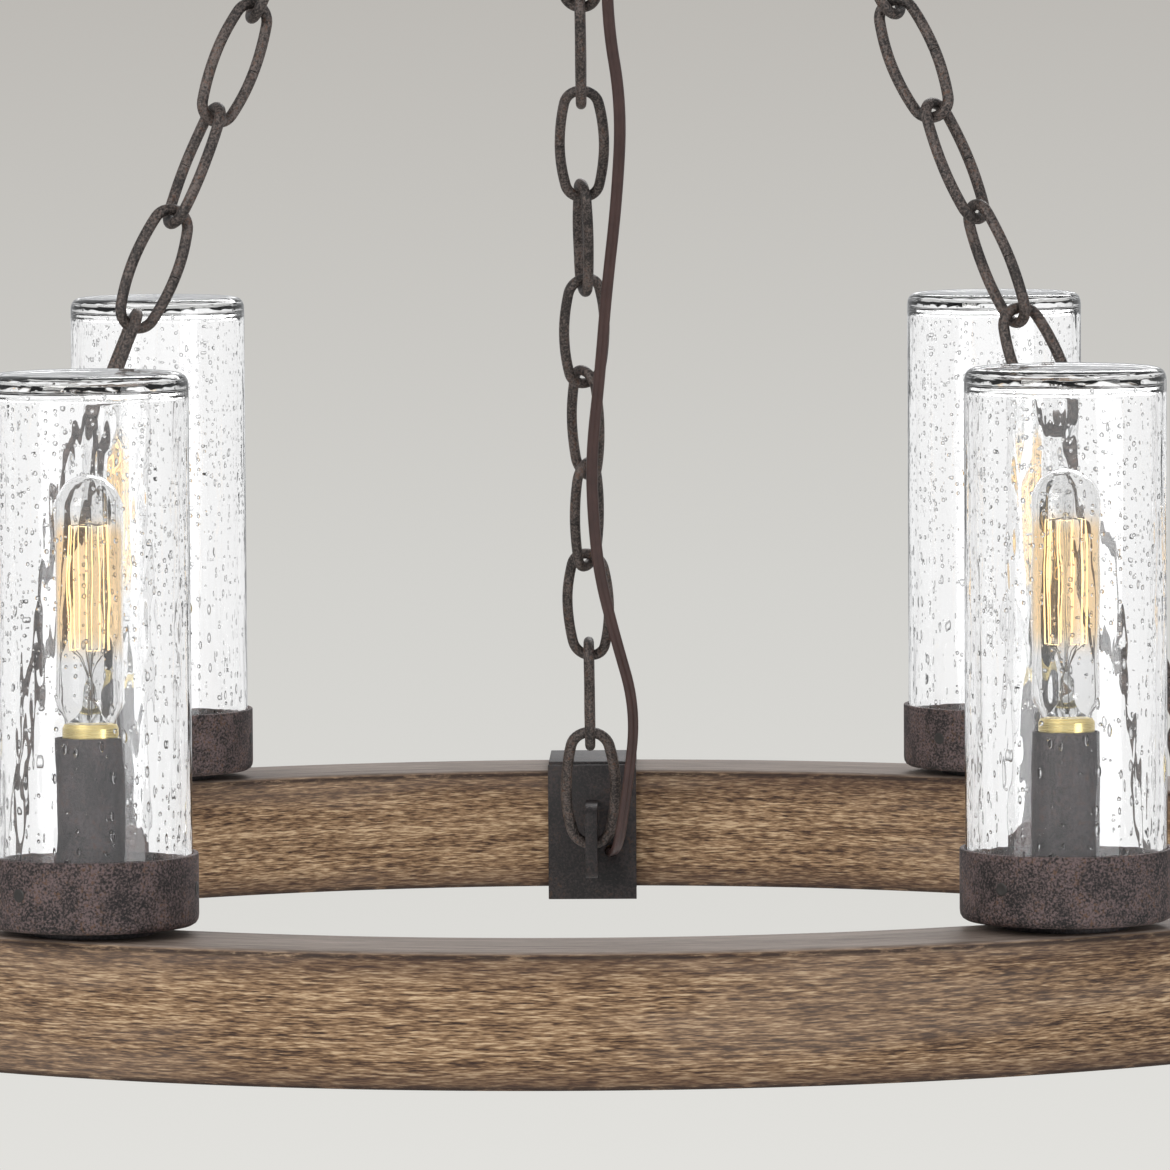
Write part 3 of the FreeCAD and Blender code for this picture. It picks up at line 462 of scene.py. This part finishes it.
# the route of the lamp cord, millimetres: plate hole, up the rear chain, past the hub, into the collar
CORD_POINTS = [
    (17.7, 442.6, -1029.7), (17.3, 417.9, -1029.7), (17.9, 395.9, -1029.7), (21.5, 374.7, -1022.8),
    (26.3, 363.2, -990.6), (31.1, 347.6, -947.1), (19.7, 324.3, -905.1), (11.8, 305.0, -872.2),
    (8.5, 285.6, -839.3), (7.7, 269.4, -804.9), (12.4, 254.3, -763.4), (16.1, 237.0, -718.5),
    (21.8, 218.9, -669.6), (24.5, 198.3, -619.6), (17.0, 172.3, -574.4), (17.6, 148.9, -527.9),
    (15.2, 125.5, -481.4), (16.8, 105.7, -433.3), (14.4, 82.3, -386.8), (16.1, 62.6, -338.7),
    (22.7, 41.6, -271.7), (25.5, 26.6, -242.7), (13.3, 16.8, -221.7), (9.7, 8.8, -187.7),
    (8.7, 9.4, -142.7), (8.2, 8.9, -97.7), (9.1, 8.3, -70.0), (7.6, 6.4, -50.0), (0.5, 1.0, -35.0)]


def make_cord(finishes):
    """Flat two-conductor cord: two round lobes side by side, slowly turning as it climbs."""
    points = [Vector(p) * MM for p in CORD_POINTS]
    line = spline_points(points, 10)
    lobe = CORD_THICKNESS / 2
    offset = CORD_WIDTH / 2 - lobe
    section = []
    for side in (1, -1):
        for step in range(9):
            angle = math.radians(-140 + 35 * step) + (0 if side > 0 else math.pi)
            section.append((side * offset + lobe * math.cos(angle), lobe * math.sin(angle)))
    bm = bmesh.new()
    across = Vector((1, 0, 0))
    ring = None
    for i, here in enumerate(line):
        ahead = (line[min(i + 1, len(line) - 1)] - line[max(i - 1, 0)]).normalized()
        across = (across - ahead * across.dot(ahead)).normalized()
        # a quarter turn before the collar, so that the flat cord clears its wall when the fixture swings
        last = max(0.0, i / len(line) - 0.9) * 10
        twist = 0.5 * math.sin(i * 0.045) * (1 - last) + math.pi / 2 * last
        side = Matrix.Rotation(twist, 3, ahead) @ across
        lift = ahead.cross(side)
        places = [here + side * a + lift * b for a, b in section]
        if ring is None:
            ring = [bm.verts.new(p) for p in places]
            edges = [bm.edges.new((ring[j], ring[(j + 1) % len(ring)])) for j in range(len(ring))]
            bm.faces.new(ring)
            continue
        made = bmesh.ops.extrude_edge_only(bm, edges=edges)["geom"]
        fresh = [g for g in made if isinstance(g, bmesh.types.BMVert)]
        edges = [g for g in made if isinstance(g, bmesh.types.BMEdge) and all(v in fresh for v in g.verts)]
        follower = {}
        for v in ring:
            for e in v.link_edges:
                other = e.other_vert(v)
                if other in fresh:
                    follower[v] = other
        ring = [follower[v] for v in ring]
        for v, p in zip(ring, places):
            v.co = p
    bm.faces.new(ring)
    cord = finished(bm, "twin_lamp_cord", HANGING, finishes["sheath"], 60.0)
    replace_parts(cord, "lamp_cord")
    return cord


# ---------------------------------------------------------------- chains
CHAIN_LEAN = math.radians(24.525)
LUG_RADIAL = 390.118 * MM
LUG_HEIGHT = -7.0 * MM
LUG_SEAT = 2.0303 * MM
# length, width, wire radius, end radius
LINK = (66.6 * MM, 28.5 * MM, 2.75 * MM, 9.0 * MM)
END_LINK = (74.5 * MM, 32.6 * MM, 3.0 * MM, 10.5 * MM)
LINK_PITCH = 54.752 * MM
END_LINK_PITCH = 61.8771 * MM
LINK_COUNT = 14
# each link's turn about its own length, degrees, as the photograph shows the lower ones
LINK_ROLLS = {"rear": (0, 75, 147, 220, 293, 375, 450, 540),
              "left": (150, 222, 290, 358, 430, 530, 625, 720),
              "right": (188, 285, 383, 480, 578, 692, 802, 916)}
UNSEEN_ROLL_STEP = 75.0
TOP_CHAIN_TOP = -53.55 * MM
BUTT_GAP = 0.35 * MM
SLACK = 0.28 * MM


def oval_link(bm, length, width, wire, end):
    """A link of bent round wire along Z in the XZ plane: two long curves, two round ends, a butt joint."""
    side = width / 2 - wire
    rise = length / 2 - wire - end
    sweep = (side * side + rise * rise - end * end) / (2 * (side - end))
    offset = sweep - side
    half = math.atan2(rise, offset)
    slit = BUTT_GAP / 2 / sweep
    bends = [(-offset, 0, half - slit, 7), (0, rise, math.pi - 2 * half, 14), (offset, 0, 2 * half, 14),
             (0, -rise, math.pi - 2 * half, 14), (-offset, 0, half - slit, 7)]
    ring = bmesh.ops.create_circle(bm, cap_ends=True, segments=14, radius=wire)["verts"]
    bmesh.ops.translate(bm, verts=ring, vec=(side, 0, 0))
    bmesh.ops.rotate(bm, verts=ring, cent=(-offset, 0, 0), matrix=Matrix.Rotation(-slit, 3, "Y"))
    made = list(ring)
    for x, z, angle, steps in bends:
        edges = list({e for v in ring for e in v.link_edges if e.other_vert(v) in ring})
        before = set(bm.verts)
        last = bmesh.ops.spin(bm, geom=edges, cent=(x, 0, z), axis=(0, 1, 0), dvec=(0, 0, 0),
                              angle=-angle, steps=steps, use_merge=False, use_duplicate=False)["geom_last"]
        made.extend(v for v in bm.verts if v not in before)
        ring = [g for g in last if isinstance(g, bmesh.types.BMVert)]
    loop = list({e for v in ring for e in v.link_edges if e.other_vert(v) in ring})
    bmesh.ops.edgenet_fill(bm, edges=loop)
    return made


def link_roll(side, k):
    """Turn of a chain's k-th link; above the ones in view, even steps up to the hub's lug."""
    seen = LINK_ROLLS[side]
    if k < len(seen):
        return seen[k]
    steps = LINK_COUNT - len(seen)
    half_turns = round((seen[-1] + UNSEEN_ROLL_STEP * steps - 90.0) / 180.0)
    last = 90.0 + 180.0 * half_turns
    return seen[-1] + (last - seen[-1]) / steps * (k - len(seen) + 1)


def wavering(verts, seed, amount):
    """Moves points a little, smoothly from one to the next, as hand-bent work is uneven."""
    for v in verts:
        v.co += noise.noise_vector(v.co * 45.0 + Vector((seed * 7.3, seed * 3.1, 0))) * amount


def chain_piece(name, links, material, node):
    """A run of links from (size, matrix, butt on the other side) rows."""
    bm = bmesh.new()
    for i, (size, place, flip) in enumerate(links):
        length, width, wire, end = size
        verts = oval_link(bm, length + 2 * SLACK, width, wire, end)
        if flip:
            bmesh.ops.rotate(bm, verts=verts, cent=(0, 0, 0), matrix=Matrix.Rotation(math.pi, 3, "Z"))
        wavering(verts, i + len(name), 0.25 * MM)
        bmesh.ops.transform(bm, matrix=place, verts=verts)
    piece = finished(bm, name, HANGING, material, 50.0)
    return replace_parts(piece, node)


def leg_links(side, azimuth):
    out = Vector((math.cos(azimuth), math.sin(azimuth), 0))
    up = out * -math.sin(CHAIN_LEAN) + Vector((0, 0, math.cos(CHAIN_LEAN)))
    foot = out * LUG_RADIAL + Vector((0, 0, RIM_MIDDLE + LUG_HEIGHT)) + up * LUG_SEAT
    lean = Matrix.Rotation(azimuth, 4, "Z") @ Matrix.Rotation(-CHAIN_LEAN, 4, "Y")
    end_reach, reach = END_LINK[0] - 2 * END_LINK[2], LINK[0] - 2 * LINK[2]
    rows = [(END_LINK, Matrix.Translation(foot + up * end_reach / 2) @ lean
             @ Matrix.Rotation(math.radians(90), 4, "Z"), False)]
    for k in range(LINK_COUNT):
        centre = foot + up * (END_LINK_PITCH + reach / 2 + k * LINK_PITCH)
        roll = Matrix.Rotation(math.radians(link_roll(side, k)), 4, "Z")
        rows.append((LINK, Matrix.Translation(centre) @ lean @ roll, k % 3 == 1))
    return rows


def make_chains(material):
    for side, azimuth in SIDES.items():
        chain_piece("chain_links_" + side, leg_links(side, math.radians(azimuth)), material, "chain_" + side)
    reach = LINK[0] - 2 * LINK[2]
    rows = []
    for k in range(3):
        place = Matrix.Translation((0, 0, TOP_CHAIN_TOP - reach / 2 - k * LINK_PITCH))
        rows.append((LINK, place @ Matrix.Rotation(math.radians(90.0 * (k % 2)), 4, "Z"), k == 1))
    chain_piece("chain_links_top", rows, material, "top_chain")


# ---------------------------------------------------------------- rim and lamps
def make_rim(material):
    """The hoop, with softened arrises and the shallow rebate that takes the raceway strip."""
    strip = 15.0 * MM
    outline = rounded([
        (RIM_INNER, RIM_BOTTOM), (RIM_CENTRE - strip, RIM_BOTTOM, 0), (RIM_CENTRE - strip, RIM_BOTTOM + 3 * MM, 0),
        (RIM_CENTRE + strip, RIM_BOTTOM + 3 * MM, 0), (RIM_CENTRE + strip, RIM_BOTTOM, 0),
        (RIM_OUTER, RIM_BOTTOM), (RIM_OUTER, RIM_TOP), (RIM_INNER, RIM_TOP)], 2.2 * MM)
    bm = bmesh.new()
    lathe(bm, outline, 288, True)
    piece = finished(bm, "rim_hoop", HANGING, material, 50.0)
    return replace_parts(piece, "rim")


def make_cups(material):
    """Cast cups: rounded foot corner, thin wall, and an uneven skin."""
    low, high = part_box("lamp_cup_1")
    r = (high.x - low.x) / 2
    hole = 5.3 * MM
    outline = rounded([
        (hole, low.z, 0), (r, low.z, 5 * MM), (r, high.z, 0.8 * MM), (r - 2.2 * MM, high.z, 0.6 * MM),
        (r - 2.2 * MM, low.z + 2.5 * MM, 0.8 * MM), (hole, low.z + 2.5 * MM, 0)], 0.0)
    for lamp in LAMPS:
        bm = bmesh.new()
        lathe(bm, outline, 96, True)
        bmesh.ops.transform(bm, matrix=at_lamps([lamp])[0], verts=bm.verts)
        piece = finished(bm, "cast_cup_%d" % lamp, HANGING, material, 40.0)
        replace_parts(piece, "lamp_cup_%d" % lamp)


def make_shades():
    """Closed glass cylinders with a thick crown, a heavy rounded shoulder and a fire-polished foot."""
    low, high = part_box("glass_shade_1")
    r = (high.x - low.x) / 2
    wall, crown = 4.5 * MM, 8.0 * MM
    outline = [Vector((0, high.z))] + rounded([
        (0, high.z, 0), (r, high.z, 6.5 * MM), (r, low.z, 1.6 * MM), (r - wall, low.z, 1.6 * MM),
        (r - wall, high.z - crown, 5 * MM), (0, high.z - crown, 0)], 0.0, 6)[1:]
    for lamp in LAMPS:
        bm = bmesh.new()
        lathe(bm, outline, 128, False)
        bmesh.ops.transform(bm, matrix=at_lamps([lamp])[0], verts=bm.verts)
        glass = seeded_glass(lamp, r, low.z, high.z)
        piece = finished(bm, "seeded_shade_%d" % lamp, "shade_%d" % lamp, glass, 60.0)
        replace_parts(piece, "glass_shade_%d" % lamp)


def turned_group(name, node, outline, steps, material):
    bm = bmesh.new()
    lathe(bm, outline, steps, True)
    piece = finished(copied(bm, at_lamps()), name, HANGING, material, 40.0)
    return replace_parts(piece, node)


def make_small_turned(iron):
    low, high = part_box("candle_sleeves")
    r, wall = 15.75 * MM, 1.0 * MM
    turned_group("candle_tubes", "candle_sleeves", rounded([
        (r - wall, low.z), (r, low.z), (r, high.z), (r - wall, high.z)], 0.3 * MM, 2), 64, iron)
    low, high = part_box("lamp_feet")
    hole, r = 5.3 * MM, 29.0 * MM
    turned_group("foot_washers", "lamp_feet", rounded([
        (hole, low.z), (r, low.z), (r, high.z), (hole, high.z)], 0.6 * MM, 2), 72, iron)


def make_bulbs(glass, finishes):
    """Tubular bulbs: shouldered envelope with a sealed tip, stem, supports and a glowing cage."""
    low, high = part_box("bulb_glass_1")
    foot, top, r = low.z, high.z, 15.75 * MM
    neck, wall = 12.0 * MM, 0.8 * MM

    def envelope(inset):
        side = r - inset
        crown = top - r
        points = [(neck - inset, foot), (neck - inset + 0.3 * MM, foot + 2.2 * MM), (side - 0.7 * MM, foot + 7.2 * MM),
                  (side, foot + 10.5 * MM), (side, crown)]
        for step in range(1, 12):
            angle = math.pi / 24 * step
            points.append((side * math.cos(angle), crown + (side - 0.6 * MM) * math.sin(angle)))
        return points

    outer = envelope(0.0) + [(1.3 * MM, top - 0.55 * MM), (0.6 * MM, top - 0.1 * MM), (0.0, top)]
    inner = envelope(wall) + [(0.0, top - 0.6 * MM - wall)]
    stem_outline = [(0, foot + 1 * MM), (9.5 * MM, foot + 1 * MM), (7.0 * MM, foot + 3 * MM), (4.2 * MM, foot + 7 * MM),
                    (3.2 * MM, foot + 12 * MM), (2.9 * MM, foot + 17 * MM), (1.6 * MM, foot + 19.5 * MM),
                    (0.9 * MM, foot + 22 * MM), (0.8 * MM, foot + 90 * MM), (1.5 * MM, foot + 92 * MM),
                    (1.2 * MM, foot + 94 * MM), (0, foot + 94.6 * MM)]
    for lamp in LAMPS:
        place = at_lamps([lamp])[0]
        body = "bulb_%d" % lamp
        bm = bmesh.new()
        lathe(bm, inner[::-1] + outer, 64, False)
        bmesh.ops.transform(bm, matrix=place, verts=bm.verts)
        piece = finished(bm, "envelope_%d" % lamp, body, glass, 60.0)
        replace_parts(piece, "bulb_glass_%d" % lamp)
        bm = bmesh.new()
        lathe(bm, stem_outline, 24, False)
        bmesh.ops.transform(bm, matrix=place, verts=bm.verts)
        finished(bm, "glass_stem_%d" % lamp, body, finishes["stem"], 60.0)
        turn = Matrix.Rotation(math.radians(17 * lamp), 4, "Z")
        supports, strands = bulb_wires(foot)
        piece = wire_piece("support_wires_%d" % lamp, supports, 0.22 * MM, place @ turn, body, finishes["lead"])
        piece = wire_piece("filament_cage_%d" % lamp, strands, 0.3 * MM, place @ turn, body, finishes["glow"])
        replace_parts(piece, "bulb_filament_%d" % lamp)


def bulb_wires(foot):
    """(support wires, glowing strands) of one bulb as runs of points above its foot."""
    low, high, legs = foot + 34 * MM, foot + 91 * MM, 10
    supports = []
    for angle in (20, 200):
        c, s = math.cos(math.radians(angle)), math.sin(math.radians(angle))
        supports.append([Vector((c * 2 * MM, s * 2 * MM, foot + 2 * MM)), Vector((c * 1.6 * MM, s * 1.6 * MM, foot + 17 * MM)),
                         Vector((c * 3.5 * MM, s * 3.5 * MM, foot + 25 * MM)), Vector((c * 8.6 * MM, s * 8.6 * MM, low - 1 * MM))])
    for k in range(legs):
        for z, hub in ((high, foot + 92 * MM), (low, foot + 21 * MM)):
            if (k % 2 == 0) == (z == high):
                angle = math.tau / legs * (k + 0.5)
                c, s = math.cos(angle), math.sin(angle)
                supports.append([Vector((c * 0.8 * MM, s * 0.8 * MM, hub)), Vector((c * 5 * MM, s * 5 * MM, (hub + z * 3) / 4)),
                                 Vector((c * 9.3 * MM, s * 9.3 * MM, z))])
    strand = []
    for k in range(legs):
        c, s = math.cos(math.tau / legs * k), math.sin(math.tau / legs * k)
        run = []
        for step in range(7):
            t = step / 6
            z = low + (high - low) * (t if k % 2 == 0 else 1 - t)
            bulge = (9.3 + 0.7 * math.sin(math.pi * t)) * MM
            run.append(Vector((c * bulge, s * bulge, z)))
        strand += run
    return supports, [strand]


def wire_piece(name, runs, radius, place, body, material):
    """Thin round wires along runs of points, as one mesh."""
    data = bpy.data.curves.new(name, "CURVE")
    data.dimensions = "3D"
    data.bevel_depth = radius
    data.bevel_resolution = 1
    data.use_fill_caps = True
    for run in runs:
        spline = data.splines.new("POLY")
        spline.points.add(len(run) - 1)
        for target, point in zip(spline.points, run):
            target.co = (*(place @ point), 1.0)
    line = bpy.data.objects.new(name + "_line", data)
    bpy.context.scene.collection.objects.link(line)
    bpy.context.view_layer.update()
    mesh = bpy.data.meshes.new_from_object(line)
    bpy.data.objects.remove(line)
    bm = bmesh.new()
    bm.from_mesh(mesh)
    bpy.data.meshes.remove(mesh)
    return finished(bm, name, body, material, 60.0)


def make_set_screws(iron):
    """Three slotted set screws in each cup, sunk a little below its skin. The screws are real; the dark finish passed
    in is painted shade for the pits they sit in.
    """
    low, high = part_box("lamp_cup_1")
    r, z = (high.x - low.x) / 2, (low.z + high.z) / 2 + 1 * MM
    bm = bmesh.new()
    lathe(bm, [(0.0, 0.02 * MM), (1.6 * MM, 0.1 * MM), (2.3 * MM, 0.3 * MM), (3.0 * MM, 0.25 * MM),
               (3.4 * MM, -0.4 * MM), (0.0, -1.2 * MM)], 24, False)
    places = []
    for lamp in LAMPS:
        for azimuth in (230, 350, 110):
            places.append(Matrix.Translation(lamp_axis(lamp)) @ Matrix.Rotation(math.radians(azimuth), 4, "Z")
                          @ Matrix.Translation((r, 0, z)) @ Matrix.Rotation(math.pi / 2, 4, "Y"))
    finished(copied(bm, places), "cup_set_screws", HANGING, iron, 60.0)


# ---------------------------------------------------------------- studio
def make_studio():
    """Pale floor, even soft light, and a pale wall of sky that the camera and the glass see."""
    world = bpy.data.worlds.new("studio")
    bpy.context.scene.world = world
    world.use_nodes = True
    tree = world.node_tree
    tree.nodes.clear()
    output = tree.nodes.new("ShaderNodeOutputWorld")
    path = tree.nodes.new("ShaderNodeLightPath")
    coords = tree.nodes.new("ShaderNodeTexCoord")
    split = tree.nodes.new("ShaderNodeSeparateXYZ")
    spread = tree.nodes.new("ShaderNodeMapRange")
    spread.inputs["From Min"].default_value = -0.135
    spread.inputs["From Max"].default_value = -0.012
    ramp = tree.nodes.new("ShaderNodeValToRGB")
    ramp.color_ramp.elements[0].color = paint(227, 226, 222)
    ramp.color_ramp.elements[1].color = paint(188, 185, 180)
    middle = ramp.color_ramp.elements.new(0.5)
    middle.color = paint(211, 210, 206)
    tree.links.new(coords.outputs["Generated"], split.inputs[0])
    tree.links.new(split.outputs["Z"], spread.inputs["Value"])
    tree.links.new(spread.outputs["Result"], ramp.inputs[0])
    light = tree.nodes.new("ShaderNodeBackground")
    light.inputs["Color"].default_value = paint(236, 238, 240)
    light.inputs["Strength"].default_value = 0.62
    seen = tree.nodes.new("ShaderNodeBackground")
    tree.links.new(ramp.outputs["Color"], seen.inputs["Color"])
    through = tree.nodes.new("ShaderNodeBackground")
    sideways = tree.nodes.new("ShaderNodeMath")
    sideways.operation = "ABSOLUTE"
    darker = tree.nodes.new("ShaderNodeMapRange")
    darker.inputs["From Min"].default_value = 0.5
    darker.inputs["From Max"].default_value = 0.95
    flank = tree.nodes.new("ShaderNodeValToRGB")
    flank.color_ramp.elements[0].color = paint(255, 255, 255)
    flank.color_ramp.elements[1].color = paint(205, 205, 205)
    tree.links.new(split.outputs["X"], sideways.inputs[0])
    tree.links.new(sideways.outputs[0], darker.inputs["Value"])
    tree.links.new(darker.outputs["Result"], flank.inputs[0])
    tree.links.new(flank.outputs["Color"], through.inputs["Color"])
    mix_seen = tree.nodes.new("ShaderNodeMixShader")
    mix_through = tree.nodes.new("ShaderNodeMixShader")
    tree.links.new(path.outputs["Is Camera Ray"], mix_seen.inputs[0])
    tree.links.new(light.outputs[0], mix_seen.inputs[1])
    tree.links.new(seen.outputs[0], mix_seen.inputs[2])
    tree.links.new(path.outputs["Is Transmission Ray"], mix_through.inputs[0])
    tree.links.new(mix_seen.outputs[0], mix_through.inputs[1])
    tree.links.new(through.outputs[0], mix_through.inputs[2])
    tree.links.new(mix_through.outputs[0], output.inputs["Surface"])

    bm = bmesh.new()
    bmesh.ops.create_grid(bm, x_segments=1, y_segments=1, size=4.0)
    bmesh.ops.translate(bm, verts=bm.verts, vec=(0, 0, -2.2))
    mesh = bpy.data.meshes.new("studio_floor")
    bm.to_mesh(mesh)
    bm.free()
    floor = bpy.data.objects.new("studio_floor", mesh)
    bpy.context.scene.collection.objects.link(floor)
    pale = Finish("studio_floor", Base_Color=paint(224, 223, 220), Roughness=0.9)
    mesh.materials.append(pale.material)

    def softbox(name, at, size, power, colour):
        data = bpy.data.lights.new(name, "AREA")
        data.shape = "RECTANGLE"
        data.size, data.size_y = size
        data.energy = power
        data.color = colour
        light = bpy.data.objects.new(name, data)
        bpy.context.scene.collection.objects.link(light)
        target = Vector((0, 0, RIM_MIDDLE))
        light.matrix_world = Matrix.Translation(at) @ (target - Vector(at)).to_track_quat("-Z", "Y").to_matrix().to_4x4()

    softbox("key", (-2.2, -3.0, 0.6), (1.6, 1.6), 75, (1.0, 0.985, 0.96))
    softbox("fill", (2.6, -2.4, -0.4), (1.6, 2.0), 34, (0.97, 0.985, 1.0))
    softbox("back", (0.6, 2.6, 0.9), (2.0, 1.2), 40, (1.0, 1.0, 1.0))


# ---------------------------------------------------------------- assembly
make_camera()
finishes = plain_finishes()
make_cord(finishes)

wood = weathered_wood()
cup_iron = cast_iron("cup_iron", paint(14, 11, 11), paint(110, 93, 92), paint(98, 68, 44), 900.0, 0.8 * MM, 0.66)
chain_iron = cast_iron("chain_iron", paint(28, 23, 21), paint(104, 93, 88), paint(98, 68, 52), 900.0, 0.35 * MM, 0.55)
sleeve_iron = cast_iron("sleeve_iron", paint(14, 12, 13), paint(66, 60, 62), paint(74, 50, 40), 800.0, 0.4 * MM, 0.7)
plate_iron = cast_iron("plate_iron", paint(15, 13, 14), paint(54, 46, 46), paint(70, 50, 38), 700.0, 0.4 * MM, 0.6)

base_low, base_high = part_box("bulb_base_1")
make_rim(wood)
make_chains(chain_iron)
make_cups(cup_iron)
make_small_turned(sleeve_iron)
# the set screws take the near-black moulded finish: painted shade for the pits they sit in
make_set_screws(finishes["moulded"])
make_shades()
make_bulbs(bulb_glass(base_high.z), finishes)
for side in SIDES:
    softened("bracket_strap_" + side, 0.5 * MM, plate_iron)
    softened("bracket_plate_" + side, 0.5 * MM, plate_iron)

KEPT = {
    "raceway_strip": wood, "wiring_harness": finishes["sheath"], "lamp_sockets": finishes["moulded"],
    "lamp_nipples": finishes["zinc"], "nipple_nuts": finishes["zinc"], "bracket_bolts": chain_iron,
    "hub": cup_iron, "hub_loop": chain_iron, "crossbar": finishes["zinc"], "canopy": cup_iron,
    "canopy_loop": chain_iron, "canopy_nipple": finishes["zinc"], "canopy_nut": finishes["zinc"]}
for lamp in LAMPS:
    KEPT["bulb_base_%d" % lamp] = finishes["brass"]
for node, material in KEPT.items():
    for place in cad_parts[node].material_slots:
        place.material = material

make_studio()
